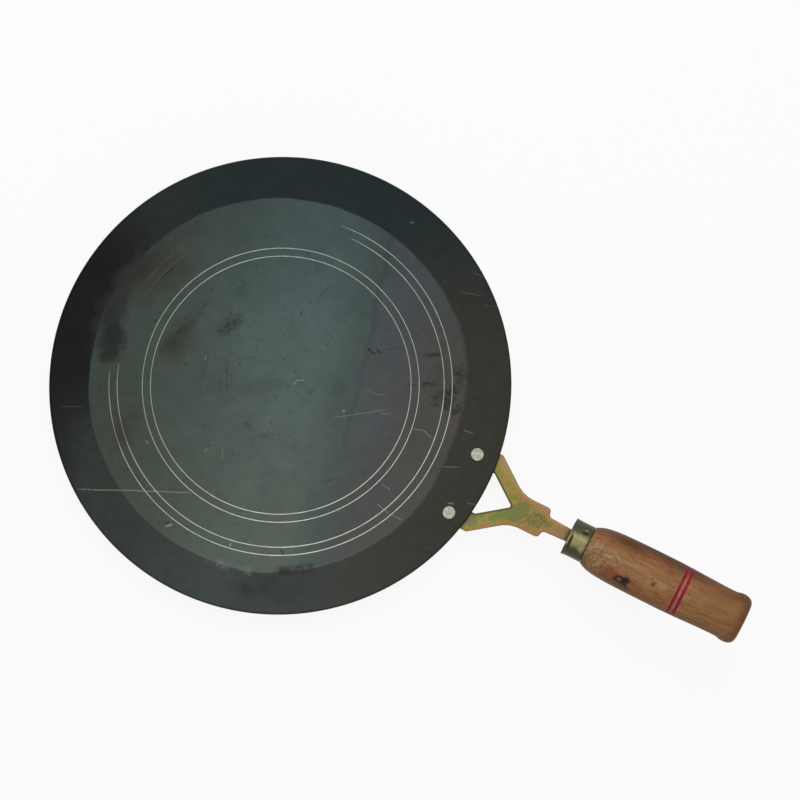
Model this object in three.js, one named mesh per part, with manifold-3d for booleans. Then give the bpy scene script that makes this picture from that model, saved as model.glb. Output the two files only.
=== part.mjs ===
// A riveted iron tawa: a shallow pressed pan on a forked bracket with a turned wooden grip.
// Millimetres and degrees, +Z up. The origin is the middle of the pan's flat underside,
// and the grip lies towards +X.
import * as THREE from 'three';
import { mergeVertices } from 'three/addons/utils/BufferGeometryUtils.js';
import Module from 'manifold-3d';

const wasm = await Module();
wasm.setup();

// Pan: a flat middle that it stands on, then one even curve up to the rim.
// Its radius is to the rim's lower corner, before that is rounded.
const panRadius = 140;
const panSheet = 2.5;
const flatRadius = 40;
const dishRadius = 300;
const rimRounding = 0.7;

// Rings turned into the pan's floor, in two pairs. The outer pair runs out on one side.
const innerRingRadius = 79.5;
const outerRingRadius = 99.5;
const ringSpacing = 4.9;
const ringDepth = 0.35;
const ringFlankAngle = 52;
const ringCutterHalfWidth = 2;
const runOutDirection = 147;
const runOutHalfAngle = 54;

// Fits: the gap left between pieces that touch or are driven into each other.
const fitGap = 0.3;

// Rivets, set in from the rim. The bracket sits to one side of the pan's middle line.
const rivetInset = 14;
const rivetSpread = 40;
const bracketOffset = -6;
const shankDiameter = 4.6;
const flatHeadDiameter = 7.8;
const flatHeadHeight = 0.9;
const flatHeadChamfer = 0.25;
const domeHeadDiameter = 8.4;
const domeHeadHeight = 2.2;

// Bracket: two pads under the pan, arms that meet past a window, a body and a tapered tang.
const bracketPlate = 2.5;
const padWidth = 12.4;
const bendPastRim = 0.8;
const padOverlap = 1;
const handleSlope = 17;
const windowLength = 18.5;
const windowTipRounding = 1.2;
const bodyWidth = 19.6;
const bodyFillet = 20;
const shoulderDistance = 41.4;
const tangRootWidth = 9.5;
const tangTipWidth = 3;
const tangLength = 66;

// Ferrule: a tube that starts this far past the bend, staked by one punch mark.
const ferruleDistance = 57.8;
const ferruleDiameter = 23.2;
const ferruleLength = 12.6;
const ferruleWall = 0.8;
const ferruleRounding = 0.3;
const punchDistance = 8.6;
const punchAngle = 30;
const punchDiameter = 2.4;
const punchDepth = 0.5;

// Grip: radii and lengths along the wood from the face that the ferrule butts against.
const gripFrontRadius = 12;
const gripBellyRadius = 16.1;
const gripBellyDistance = 52;
const gripShoulderReach = 15;
const gripWaistRadius = 15;
const gripWaistDistance = 91.5;
const gripBeadRadius = 15.9;
const gripBeadDistance = 98;
const gripLength = 104.5;
const gripEndRadius = 11;
const spigotRecess = 0.6;

// Fineness of the round shapes.
const panSegments = 80;
const dishSteps = 7;
const roundSegments = 40;
const smallSegments = 20;
const curveSteps = 6;
const cornerSteps = 3;
const weldDistance = 1e-5;

const rad = THREE.MathUtils.degToRad;
const sides = { left: 1, right: -1 };

// Where the parts meet, worked out from the sizes above.
const rivetDistance = panRadius - rivetInset;
const bendDistance = panRadius + bendPastRim;
const seatTopRadius = dishRadius + panSheet + fitGap;
const seatBottomRadius = seatTopRadius + bracketPlate;
const seatMiddleRadius = seatTopRadius + bracketPlate / 2;
const shoulderRounding = (bodyWidth - tangRootWidth) / 4;
const tangRoot = shoulderDistance + shoulderRounding;
const tangTip = tangRoot + tangLength;
const ferruleBore = ferruleDiameter - 2 * ferruleWall;
const spigotRadius = ferruleBore / 2 - fitGap;
const spigotLength = ferruleLength + fitGap - spigotRecess;
const gripStart = ferruleDistance + spigotRecess;

// A closed surface made into a solid that can be cut and joined, with its seams welded.
function toSolid(geometry) {
  const bare = geometry.clone();
  bare.deleteAttribute('normal');
  bare.deleteAttribute('uv');
  const welded = mergeVertices(bare, weldDistance);
  const corners = welded.index.array;
  const triangles = [];
  for (let i = 0; i < corners.length; i += 3) {
    const [a, b, c] = corners.slice(i, i + 3);
    if (a !== b && b !== c && c !== a) triangles.push(a, b, c);
  }
  return new wasm.Manifold(new wasm.Mesh({
    numProp: 3,
    vertProperties: welded.attributes.position.array,
    triVerts: Uint32Array.from(triangles),
  }));
}

function toGeometry(solid) {
  const { vertProperties, triVerts } = solid.getMesh();
  const geometry = new THREE.BufferGeometry();
  geometry.setAttribute('position', new THREE.BufferAttribute(vertProperties, 3));
  geometry.setIndex(new THREE.BufferAttribute(triVerts, 1));
  geometry.computeVertexNormals();
  return geometry;
}

// A profile of (radius, height) points turned about +Z.
function turned(profile, segments) {
  return new THREE.LatheGeometry(profile, segments).rotateX(Math.PI / 2);
}

// A point of the dish's section, on a curve of the given radius about the dish's centre.
function dishPoint(radius, angle) {
  return new THREE.Vector2(
    flatRadius + radius * Math.sin(angle),
    panSheet + dishRadius - radius * Math.cos(angle),
  );
}

// The angle at which a curve of the dish reaches a distance from the pan's axis.
function dishAngle(radius, distance) {
  return Math.asin((distance - flatRadius) / radius);
}

function dishCurve(radius, fromAngle, toAngle) {
  const points = [];
  for (let step = 0; step <= dishSteps; step += 1) {
    points.push(dishPoint(radius, THREE.MathUtils.lerp(fromAngle, toAngle, step / dishSteps)));
  }
  return points;
}

// The sheet's two rounded corners at the rim, from the underside to the inside.
function rimCorners(rimAngle) {
  const underside = [];
  const inside = [];
  for (let step = 1; step <= cornerSteps; step += 1) {
    const turn = (step / cornerSteps) * Math.PI / 2;
    const inset = rimRounding * (1 - Math.sin(turn));
    const rise = rimRounding * (1 - Math.cos(turn));
    const lower = dishRadius + panSheet - rise;
    const upper = dishRadius + rise;
    underside.push(dishPoint(lower, rimAngle - inset / lower));
    inside.unshift(dishPoint(upper, rimAngle - inset / upper));
  }
  return [...underside, ...inside];
}

function panProfile() {
  const underRadius = dishRadius + panSheet;
  const rimAngle = dishAngle(underRadius, panRadius);
  return [
    new THREE.Vector2(0, 0),
    ...dishCurve(underRadius, 0, rimAngle - rimRounding / underRadius),
    ...rimCorners(rimAngle),
    ...dishCurve(dishRadius, rimAngle - rimRounding / dishRadius, 0),
    new THREE.Vector2(0, panSheet),
  ];
}

// A ring with a V section that cuts the floor to the given depth.
function ringCutter(radius, depth) {
  const tip = dishPoint(dishRadius, dishAngle(dishRadius, radius));
  tip.y -= depth;
  const top = tip.y + ringCutterHalfWidth / Math.tan(rad(ringFlankAngle));
  const section = [
    tip,
    new THREE.Vector2(radius + ringCutterHalfWidth, top),
    new THREE.Vector2(radius - ringCutterHalfWidth, top),
    tip.clone(),
  ];
  return turned(section, panSegments);
}

// The same ring tilted a little, so that it leaves the floor over the run-out.
function runOutCutter(radius) {
  const swing = ringDepth / (1 + Math.cos(rad(runOutHalfAngle)));
  const deepSide = rad(runOutDirection + 180);
  return ringCutter(radius, ringDepth - swing)
    .rotateZ(-deepSide)
    .rotateY(Math.atan(swing / radius))
    .rotateZ(deepSide);
}

// A rivet's own frame: the origin on the pan's inside, +Z square to the sheet.
function rivetFrame(side) {
  const y = bracketOffset + side * rivetSpread / 2;
  const angle = dishAngle(dishRadius, Math.hypot(rivetDistance, y));
  const place = dishPoint(dishRadius, angle);
  return new THREE.Matrix4()
    .makeRotationZ(Math.atan2(y, rivetDistance))
    .multiply(new THREE.Matrix4().makeTranslation(place.x, 0, place.y))
    .multiply(new THREE.Matrix4().makeRotationY(-angle));
}

function rivetHole(side) {
  const radius = shankDiameter / 2 + fitGap;
  const length = 4 * (panSheet + bracketPlate);
  return new THREE.CylinderGeometry(radius, radius, length, smallSegments)
    .rotateX(Math.PI / 2)
    .applyMatrix4(rivetFrame(side));
}

function pan() {
  let solid = toSolid(turned(panProfile(), panSegments));
  for (const offset of [0, ringSpacing]) {
    solid = solid.subtract(toSolid(ringCutter(innerRingRadius + offset, ringDepth)));
    solid = solid.subtract(toSolid(runOutCutter(outerRingRadius + offset)));
  }
  for (const side of Object.values(sides)) {
    solid = solid.subtract(toSolid(rivetHole(side)));
  }
  return toGeometry(solid);
}

// Flat head on the pan's inside, shank through the sheet and pad, domed head underneath.
function rivet() {
  const shank = shankDiameter / 2;
  const flatHead = flatHeadDiameter / 2;
  const domeHead = domeHeadDiameter / 2;
  const headTop = fitGap + flatHeadHeight;
  const domeBase = -(panSheet + fitGap + bracketPlate + fitGap);
  const profile = new THREE.Path();
  profile.moveTo(0, domeBase - domeHeadHeight);
  profile.absellipse(0, domeBase, domeHead, domeHeadHeight, -Math.PI / 2, 0, false);
  profile.lineTo(shank, domeBase);
  profile.lineTo(shank, fitGap);
  profile.lineTo(flatHead, fitGap);
  profile.lineTo(flatHead, headTop - flatHeadChamfer);
  profile.lineTo(flatHead - flatHeadChamfer, headTop);
  profile.lineTo(0, headTop);
  return turned(profile.getPoints(curveSteps), smallSegments);
}

// The bracket's pads: round-ended strips of a shell that follows the pan's underside.
function padShell() {
  const inner = rivetDistance - padWidth;
  const outer = Math.hypot(bendDistance + padWidth, rivetSpread + padWidth);
  const section = [
    ...dishCurve(seatTopRadius, dishAngle(seatTopRadius, inner), dishAngle(seatTopRadius, outer)),
    ...dishCurve(seatBottomRadius, dishAngle(seatBottomRadius, outer), dishAngle(seatBottomRadius, inner)),
  ];
  section.push(section[0].clone());
  section.reverse();
  return toSolid(turned(section, panSegments));
}

function pad(side) {
  const y = bracketOffset + side * rivetSpread / 2;
  const half = padWidth / 2;
  const outline = new THREE.Shape();
  outline.moveTo(bendDistance, y + half);
  outline.lineTo(rivetDistance, y + half);
  outline.absarc(rivetDistance, y, half, Math.PI / 2, 3 * Math.PI / 2, false);
  outline.lineTo(bendDistance, y - half);
  const height = seatBottomRadius;
  const extrusion = { depth: height, bevelEnabled: false, curveSegments: curveSteps };
  const strip = new THREE.ExtrudeGeometry(outline, extrusion);
  return toSolid(strip.translate(0, 0, -height / 2)).intersect(padShell());
}

// The frame of the bracket's flat part: the origin midway between the pads on the bend,
// +X up the handle's slope and +Y from pad to pad.
function bracketFrame() {
  const [left, right] = Object.values(sides).map((side) => {
    const y = bracketOffset + side * rivetSpread / 2;
    const angle = dishAngle(seatMiddleRadius, Math.hypot(bendDistance, y));
    return new THREE.Vector3(bendDistance, y, dishPoint(seatMiddleRadius, angle).y);
  });
  const across = left.clone().sub(right).normalize();
  const up = new THREE.Vector3(Math.cos(rad(handleSlope)), 0, Math.sin(rad(handleSlope)));
  const normal = up.clone().cross(across).normalize();
  const along = across.clone().cross(normal);
  const middle = left.clone().add(right).multiplyScalar(0.5);
  return new THREE.Matrix4().makeBasis(along, across, normal).setPosition(middle);
}

// One side of the bracket's flat outline, from the pad's outer edge to the tang's tip.
function outerEdge() {
  const armAngle = Math.atan2(rivetSpread / 2 - padWidth / 2, windowLength);
  const padOuter = rivetSpread / 2 + padWidth / 2;
  const bodyHalf = bodyWidth / 2;
  const rootHalf = tangRootWidth / 2;
  const bodyCorner = (padOuter - bodyHalf) / Math.tan(armAngle);
  const filletReach = bodyFillet * Math.tan(armAngle / 2);
  const edge = new THREE.Path();
  edge.moveTo(-padOverlap, padOuter);
  edge.lineTo(0, padOuter);
  edge.lineTo(bodyCorner - filletReach * Math.cos(armAngle), bodyHalf + filletReach * Math.sin(armAngle));
  edge.absarc(bodyCorner + filletReach, bodyHalf + bodyFillet, bodyFillet,
    -Math.PI / 2 - armAngle, -Math.PI / 2, false);
  edge.absarc(shoulderDistance - shoulderRounding, bodyHalf - shoulderRounding, shoulderRounding,
    Math.PI / 2, 0, true);
  edge.absarc(tangRoot, rootHalf + shoulderRounding, shoulderRounding, -Math.PI, -Math.PI / 2, false);
  edge.lineTo(tangTip, tangTipWidth / 2);
  return edge.getPoints(curveSteps);
}

// One side of the window, from the pad's inner edge to the rounded tip on the middle line.
function windowEdge() {
  const padInner = rivetSpread / 2 - padWidth / 2;
  const armAngle = Math.atan2(padInner, windowLength);
  const tipCentre = windowLength - windowTipRounding / Math.sin(armAngle);
  const edge = new THREE.Path();
  edge.moveTo(-padOverlap, padInner);
  edge.lineTo(0, padInner);
  edge.absarc(tipCentre, 0, windowTipRounding, Math.PI / 2 - armAngle, 0, true);
  return edge.getPoints(cornerSteps);
}

function mirrored(points) {
  return points.map((point) => new THREE.Vector2(point.x, -point.y)).reverse();
}

function forkPlate() {
  const outer = outerEdge();
  const inner = windowEdge();
  const window = [...inner, ...mirrored(inner)].reverse();
  const outline = new THREE.Shape([...outer, ...mirrored(outer), ...window]);
  return new THREE.ExtrudeGeometry(outline, { depth: bracketPlate, bevelEnabled: false })
    .translate(0, 0, -bracketPlate / 2)
    .applyMatrix4(bracketFrame());
}

function handleBracket() {
  let solid = toSolid(forkPlate());
  for (const side of Object.values(sides)) {
    solid = solid.add(pad(side)).subtract(toSolid(rivetHole(side)));
  }
  return toGeometry(solid);
}

// Ferrule and grip, turned about their own length: +X, with 0 where each begins.
function alongHandle(profile) {
  return turned(profile, roundSegments).rotateY(Math.PI / 2);
}

function ferrule() {
  const outer = ferruleDiameter / 2;
  const bore = ferruleBore / 2;
  const section = [
    new THREE.Vector2(bore, 0),
    new THREE.Vector2(outer - ferruleRounding, 0),
    new THREE.Vector2(outer, ferruleRounding),
    new THREE.Vector2(outer, ferruleLength - ferruleRounding),
    new THREE.Vector2(outer - ferruleRounding, ferruleLength),
    new THREE.Vector2(bore, ferruleLength),
    new THREE.Vector2(bore, 0),
  ];
  const reach = 2 * punchDepth;
  const punch = new THREE.ConeGeometry(punchDiameter, reach, smallSegments)
    .rotateX(-Math.PI / 2)
    .translate(punchDistance, 0, outer - punchDepth + reach / 2)
    .rotateX(-rad(punchAngle));
  return toGeometry(toSolid(alongHandle(section)).subtract(toSolid(punch)));
}

function gripProfile() {
  const start = spigotLength;
  const profile = new THREE.Path();
  profile.moveTo(0, 0);
  profile.lineTo(spigotRadius, 0);
  profile.lineTo(spigotRadius, start);
  profile.lineTo(gripFrontRadius, start);
  profile.bezierCurveTo(
    gripBellyRadius, start + gripShoulderReach / 2,
    gripBellyRadius, start + gripShoulderReach,
    gripBellyRadius, start + gripBellyDistance,
  );
  const towardWaist = (gripWaistDistance - gripBellyDistance) / 3;
  profile.bezierCurveTo(
    gripBellyRadius, start + gripBellyDistance + towardWaist,
    gripWaistRadius, start + gripWaistDistance - towardWaist,
    gripWaistRadius, start + gripWaistDistance,
  );
  const towardBead = (gripBeadDistance - gripWaistDistance) / 2;
  profile.bezierCurveTo(
    gripWaistRadius, start + gripWaistDistance + towardBead,
    gripBeadRadius, start + gripBeadDistance - towardBead,
    gripBeadRadius, start + gripBeadDistance,
  );
  profile.bezierCurveTo(
    gripBeadRadius, start + gripLength,
    gripEndRadius, start + gripLength,
    gripEndRadius, start + gripLength,
  );
  profile.lineTo(0, start + gripLength);
  return profile.getPoints(curveSteps);
}

// The slot burned into the wood: the tang's own taper, grown by the fit.
function tangSlot() {
  const outline = new THREE.Shape();
  outline.moveTo(tangRoot, tangRootWidth / 2 + fitGap);
  outline.lineTo(tangTip + fitGap, tangTipWidth / 2 + fitGap);
  outline.lineTo(tangTip + fitGap, -tangTipWidth / 2 - fitGap);
  outline.lineTo(tangRoot, -tangRootWidth / 2 - fitGap);
  const height = bracketPlate + 2 * fitGap;
  return new THREE.ExtrudeGeometry(outline, { depth: height, bevelEnabled: false })
    .translate(-gripStart, 0, -height / 2);
}

function woodenGrip() {
  return toGeometry(toSolid(alongHandle(gripProfile())).subtract(toSolid(tangSlot())));
}

// Materials, one function each.
function blackIron() {
  return new THREE.MeshStandardMaterial({ color: 0x4d5753, roughness: 0.5, metalness: 0.7 });
}

function yellowZinc() {
  return new THREE.MeshStandardMaterial({ color: 0x96804a, roughness: 0.4, metalness: 0.9 });
}

function aluminium() {
  return new THREE.MeshStandardMaterial({ color: 0xabac9a, roughness: 0.45, metalness: 0.9 });
}

function dullBrass() {
  return new THREE.MeshStandardMaterial({ color: 0x979161, roughness: 0.35, metalness: 0.9 });
}

function turnedWood() {
  return new THREE.MeshStandardMaterial({ color: 0x936b48, roughness: 0.6, metalness: 0 });
}

function part(name, geometry, material) {
  const mesh = new THREE.Mesh(geometry, material);
  mesh.name = name;
  return mesh;
}

// Assembly
const tawa = new THREE.Group();
tawa.add(part('pan', pan(), blackIron()));
tawa.add(part('handle_bracket', handleBracket(), yellowZinc()));

for (const [name, side] of Object.entries(sides)) {
  const piece = part(`rivet_${name}`, rivet(), aluminium());
  piece.applyMatrix4(rivetFrame(side));
  tawa.add(piece);
}

const handle = new THREE.Group();
handle.applyMatrix4(bracketFrame());
const ferrulePiece = part('ferrule', ferrule(), dullBrass());
ferrulePiece.position.x = ferruleDistance;
const gripPiece = part('wooden_grip', woodenGrip(), turnedWood());
gripPiece.position.x = gripStart;
handle.add(ferrulePiece, gripPiece);
tawa.add(handle);

export default tawa;
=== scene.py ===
"""A riveted iron tawa seen from above on a pale floor. Sizes are in millimetres and degrees."""
import math

import bmesh
import bpy
import numpy as np
from mathutils import Matrix, Vector, noise


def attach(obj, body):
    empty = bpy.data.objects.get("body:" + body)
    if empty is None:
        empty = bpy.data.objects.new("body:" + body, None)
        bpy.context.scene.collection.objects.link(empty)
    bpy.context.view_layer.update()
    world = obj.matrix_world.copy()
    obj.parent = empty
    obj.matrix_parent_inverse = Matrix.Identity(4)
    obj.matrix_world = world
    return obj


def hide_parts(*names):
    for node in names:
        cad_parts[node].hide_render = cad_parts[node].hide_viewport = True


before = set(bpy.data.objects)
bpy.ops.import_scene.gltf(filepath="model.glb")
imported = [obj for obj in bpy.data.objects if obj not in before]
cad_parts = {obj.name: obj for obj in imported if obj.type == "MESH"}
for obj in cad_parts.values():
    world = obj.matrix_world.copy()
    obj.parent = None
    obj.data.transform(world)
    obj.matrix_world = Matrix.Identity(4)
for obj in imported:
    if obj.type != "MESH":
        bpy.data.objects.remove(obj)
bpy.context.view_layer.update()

MM = 0.001

# Points round each turned piece, and the corners of a square in order
PAN_COLUMNS = 480
RIVET_COLUMNS = 64
HANDLE_COLUMNS = 240
SQUARE = ((-1, -1), (1, -1), (1, 1), (-1, 1))

# Pan
PAN_RADIUS = 139.98
PAN_SHEET = 2.5
FLAT_RADIUS = 40.0
DISH_RADIUS = 300.0
RIM_ROUNDING = 0.7
FLARE_RISE = 0.12
CREASE_RADIUS = 114.4
CREASE_LEAN = 2.1
CREASE_LEAN_DIRECTION = 192.0
PAN_WAVE = 0.2
RIM_SHADE = 2.4

# Rows of points over the pan, by their distance from its axis or from the crease
FLOOR_ROWS = np.arange(5.0, 78.0, 5.0)
RING_ROWS = (90.0, 94.5)
CREASE_ROWS = (-2.4, -1.2, -0.4, 0.4, 1.2, 3.0)
FLARE_ROWS = (125.5, 129.0, 132.5, 136.0)
UNDER_ROWS = (136.0, 132.0, 126.0, 120.0, *np.arange(112.0, 3.0, -8.0))

# Where the crease swings in or out: direction, reach and half width in degrees
CREASE_SWINGS = {
    "handle": (3.0, -2.3, 13.0),
    "upper_right": (42.0, 1.7, 18.0),
    "bottom": (-76.0, 1.1, 10.0),
}

# Rings turned into the floor. The outer two stop over an arc, given as its two ends.
RING_DEPTH = 0.22
RING_FLANK = 47.0
RING_FADE = 9.0
RING_MARGIN = 1.2
RING_LEAST = 0.04
RINGS = (
    {"radius": 79.5, "bare_arc": None},
    {"radius": 84.4, "bare_arc": None},
    {"radius": 99.5, "bare_arc": (91.0, 196.0)},
    {"radius": 104.4, "bare_arc": (95.0, 199.0)},
)

# Fits and rivets
FIT_GAP = 0.3
RIVET_DISTANCE = 126.0
RIVET_SPREAD = 40.0
BRACKET_OFFSET = -6.0
SHANK_RADIUS = 2.3
HEAD_RADIUS = 3.9
HEAD_HEIGHT = 0.9
HEAD_ROUNDING = 0.3
HOLE_LENGTH = 20.0
DOME_RADIUS = 4.2
DOME_HEIGHT = 2.2

# Bracket
BRACKET_PLATE = 2.5
PAD_WIDTH = 12.4
BEND_DISTANCE = 140.8
HANDLE_SLOPE = 17.0
WINDOW_LENGTH = 18.5
WINDOW_TIP = 1.2
BODY_WIDTH = 19.6
BODY_FILLET = 20.0
SHOULDER_DISTANCE = 41.4
TANG_ROOT_WIDTH = 9.5
TANG_TIP_WIDTH = 3.0
TANG_LENGTH = 66.0
BRACKET_VOXEL = 0.42
SEAT_MIDDLE = DISH_RADIUS + PAN_SHEET + FIT_GAP + BRACKET_PLATE / 2

# Ferrule
FERRULE_DISTANCE = 57.8
FERRULE_RADIUS = 11.6
FERRULE_LENGTH = 12.6
FERRULE_WALL = 0.8
FERRULE_ROUNDING = 0.3
FERRULE_BELL = 0.35
FERRULE_BELL_BACK = 0.12

# Grip, measured from the face that the ferrule butts against
GRIP_FACE = 70.7
SPIGOT_LENGTH = 12.3
SPIGOT_RADIUS = 10.5
GRIP_FRONT_RADIUS = 12.0
GRIP_BELLY_RADIUS = 16.1
GRIP_BELLY = 52.0
GRIP_SHOULDER = 15.0
GRIP_WAIST_RADIUS = 15.0
GRIP_WAIST = 91.5
GRIP_BEAD_RADIUS = 15.9
GRIP_BEAD = 98.0
GRIP_LENGTH = 104.5
GRIP_END_RADIUS = 11.0
STRIPES = (60.7, 64.2)
STRIPE_WIDTH = 1.8
STRIPE_FRAY = 0.12

# Marks in the ferrule and the wood: depth or height, distance along, direction, half length and half width
FERRULE_DEEPEST = 0.62
FERRULE_HOLLOWS = {
    "dent": (0.75, 2.3, -10, 0.8, 4.6),
    "punch": (0.75, 8.2, 35, 1.1, 0.95),
    "punch_end": (0.6, 9.6, 37, 0.7, 0.7),
}
FERRULE_LIPS = {
    "dent": (0.5, 0.9, -8, 0.6, 4.8),
    "punch": (0.4, 8.8, 44, 1.5, 0.7),
}
GRIP_HOLLOWS = {
    "knot": (0.6, 26.6, -35, 2.4, 2.3),
    "knot_lobe": (0.55, 30.0, -29, 1.6, 1.4),
    "knot_tail": (0.4, 31.6, -39, 1.4, 1.1),
    "knot_heart": (-0.55, 26.2, -35, 1.2, 1.1),
    "small_knot": (0.2, 45.6, -7, 1.4, 1.2),
}
# Torn fibres, with a share in place of a depth
GRIP_TORN = {
    "front": (1.5, 6.0, -24, 9.5, 14.0),
}

# Camera and light
CAMERA_PLACE = (-172.45, 146.11, 1399.2)
CAMERA_AIM = (67.39, 24.22, 17.5)
CAMERA_ROLL = 26.07
CAMERA_LENS = 104.15
LAMP_PLACE = (-545, 944, 1560)
LAMP_AIM = (60, 0, 20)
LAMP_SIZE = 1200.0
LAMP_POWER = 16.0
WORLD_STRENGTH = 0.5
FLOOR_HALF = 6000.0
FLOOR_DROP = 0.2

# Directions on the pan that the picture shows as up and right
PHOTO_UP = 116.0
PHOTO_RIGHT = 26.0


def rad(degrees):
    return math.radians(degrees)


def srgb(red, green, blue):
    """A colour as a screen shows it, 0 to 255, turned into the linear values that nodes take."""
    shares = [value / 255 for value in (red, green, blue)]
    linear = [s / 12.92 if s <= 0.04045 else ((s + 0.055) / 1.055) ** 2.4 for s in shares]
    return (*linear, 1.0)


def smooth_step(value, low, high):
    share = np.clip((value - low) / (high - low), 0.0, 1.0)
    return share * share * (3.0 - 2.0 * share)


def noise_at(points, size, seed):
    """Smooth noise of about -1 to 1 at each point. size is the length of a wave, one number or three."""
    shift = np.array((17.3, 5.1, 29.7)) * seed
    places = points.reshape(-1, 3) / size + shift
    values = [noise.noise(Vector(place)) for place in places]
    return np.array(values).reshape(points.shape[:-1])


def angles_round(columns):
    return np.linspace(0, 2 * math.pi, columns, endpoint=False)


def turned_points(angles, radii, heights=0.0):
    """Points round the Z axis at these angles."""
    level = np.zeros_like(angles)
    return np.stack([radii * np.cos(angles), radii * np.sin(angles), heights + level], axis=-1)


def turned_from(angles, direction):
    """Angles measured from a direction, up to half a turn either way."""
    return (angles - rad(direction) + np.pi) % (2 * np.pi) - np.pi


def quarter_round(radius, steps):
    """A quarter round: how far each of its points lies in from the two faces that it joins."""
    turn = np.linspace(0.0, math.pi / 2, steps)
    return list(zip(radius * (1 - np.cos(turn)), radius * (1 - np.sin(turn))))


# Meshes

def face_outward(mesh):
    """Turns every face outward and smooths all but the sharp edges."""
    shape = bmesh.new()
    shape.from_mesh(mesh)
    bmesh.ops.recalc_face_normals(shape, faces=shape.faces)
    shape.to_mesh(mesh)
    shape.free()
    mesh.shade_smooth()
    mesh.set_sharp_from_angle(angle=rad(30))


def turned_mesh(name, rows, start=None, end=None):
    """A mesh of rows of points round an axis. start and end close it with single points; without them the
    last row joins the first."""
    count, around = rows.shape[:2]
    points = [tuple(point * MM) for point in rows.reshape(-1, 3)]
    faces = []
    for row in range(count - 1 if start is not None else count):
        low = row * around
        high = (row + 1) % count * around
        for column in range(around):
            after = (column + 1) % around
            faces.append((low + column, low + after, high + after, high + column))
    if start is not None:
        for pole, first in ((start, 0), (end, (count - 1) * around)):
            points.append(tuple(np.array(pole) * MM))
            for column in range(around):
                after = (column + 1) % around
                faces.append((first + column, first + after, len(points) - 1))
    mesh = bpy.data.meshes.new(name)
    mesh.from_pydata(points, [], faces)
    face_outward(mesh)
    return mesh


def mesh_of(shape, name):
    """A mesh of an edited shape, with its faces turned outward. The shape is used up."""
    bmesh.ops.recalc_face_normals(shape, faces=shape.faces)
    mesh = bpy.data.meshes.new(name)
    shape.to_mesh(mesh)
    shape.free()
    return mesh


def store(mesh, name, values):
    """Keeps a number for each point of a mesh, for its material."""
    stored = mesh.attributes.new(name, "FLOAT", "POINT")
    stored.data.foreach_set("value", values.ravel().astype(np.float32))


def hole_cutters(places):
    """One mesh of the cutters for rivet holes at these places."""
    shape = bmesh.new()
    radius = (SHANK_RADIUS + FIT_GAP) * MM
    for place in places:
        bmesh.ops.create_cone(
            shape, cap_ends=True, segments=48, radius1=radius, radius2=radius,
            depth=HOLE_LENGTH * MM, matrix=place)
    return mesh_of(shape, "holes")


def linked(name, data):
    made = bpy.data.objects.new(name, data)
    bpy.context.scene.collection.objects.link(made)
    return made


def modified(mesh, name, modifiers):
    """A new mesh: the given one with modifiers of these types and settings applied."""
    worker = linked("worker", mesh)
    for kind, settings in modifiers:
        modifier = worker.modifiers.new(kind, kind)
        for setting, value in settings.items():
            setattr(modifier, setting, value)
    bpy.context.view_layer.update()
    shown = worker.evaluated_get(bpy.context.evaluated_depsgraph_get())
    made = bpy.data.meshes.new_from_object(shown)
    made.name = name
    bpy.data.objects.remove(worker)
    return made


def cut(mesh, name, cutter_mesh):
    """A new mesh: the given one with the cutter's volume taken out."""
    cutter = linked("cutter", cutter_mesh)
    settings = {"operation": "DIFFERENCE", "object": cutter, "solver": "EXACT"}
    made = modified(mesh, name, [("BOOLEAN", settings)])
    bpy.data.objects.remove(cutter)
    return made


def add_piece(name, mesh, node, materials, place=Matrix.Identity(4)):
    """A finished piece that stands for a CAD node."""
    for material in materials:
        mesh.materials.append(material)
    mesh.transform(place)
    piece = linked(name, mesh)
    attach(piece, "root")
    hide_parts(node)


# Frames

def dish_angle(radius, distance):
    return np.arcsin(np.maximum(distance - FLAT_RADIUS, 0.0) / radius)


def dish_height(radius, distance):
    """Height, at a distance from the pan's axis, of a curve with this radius about the dish's centre."""
    return PAN_SHEET + DISH_RADIUS - radius * np.cos(dish_angle(radius, distance))


def rivet_frame(side):
    """Origin on the pan's inside, +Z square to the sheet."""
    y = BRACKET_OFFSET + side * RIVET_SPREAD / 2
    distance = math.hypot(RIVET_DISTANCE, y)
    angle = float(dish_angle(DISH_RADIUS, distance))
    height = float(dish_height(DISH_RADIUS, distance))
    turn = Matrix.Rotation(math.atan2(y, RIVET_DISTANCE), 4, "Z")
    shift = Matrix.Translation((distance * MM, 0, height * MM))
    return turn @ shift @ Matrix.Rotation(-angle, 4, "Y")


def handle_frame():
    """Origin midway between the pads on the bend, +X up the handle's slope, +Y from pad to pad."""
    ends = []
    for side in (1, -1):
        y = BRACKET_OFFSET + side * RIVET_SPREAD / 2
        height = float(dish_height(SEAT_MIDDLE, math.hypot(BEND_DISTANCE, y)))
        ends.append(Vector((BEND_DISTANCE, y, height)) * MM)
    across = (ends[0] - ends[1]).normalized()
    slope = Vector((math.cos(rad(HANDLE_SLOPE)), 0, math.sin(rad(HANDLE_SLOPE))))
    normal = slope.cross(across).normalized()
    along = across.cross(normal)
    turn = Matrix((along, across, normal)).transposed().to_4x4()
    return Matrix.Translation((ends[0] + ends[1]) / 2) @ turn


def up_handle(distance):
    """The handle's frame, moved this far up its slope."""
    return handle_frame() @ Matrix.Translation((distance * MM, 0, 0))


# Pan

def crease_radius(angles):
    """Where the ground floor ends and the darker flare begins, a slightly uneven circle."""
    circle = turned_points(angles, CREASE_RADIUS)
    radius = CREASE_RADIUS + CREASE_LEAN * np.cos(angles - rad(CREASE_LEAN_DIRECTION))
    for direction, reach, half_width in CREASE_SWINGS.values():
        radius = radius + reach * np.exp(-(turned_from(angles, direction) / rad(half_width)) ** 2)
    return radius + 0.4 * noise_at(circle, 24.0, 1) + 0.2 * noise_at(circle, 9.0, 2)


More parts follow.
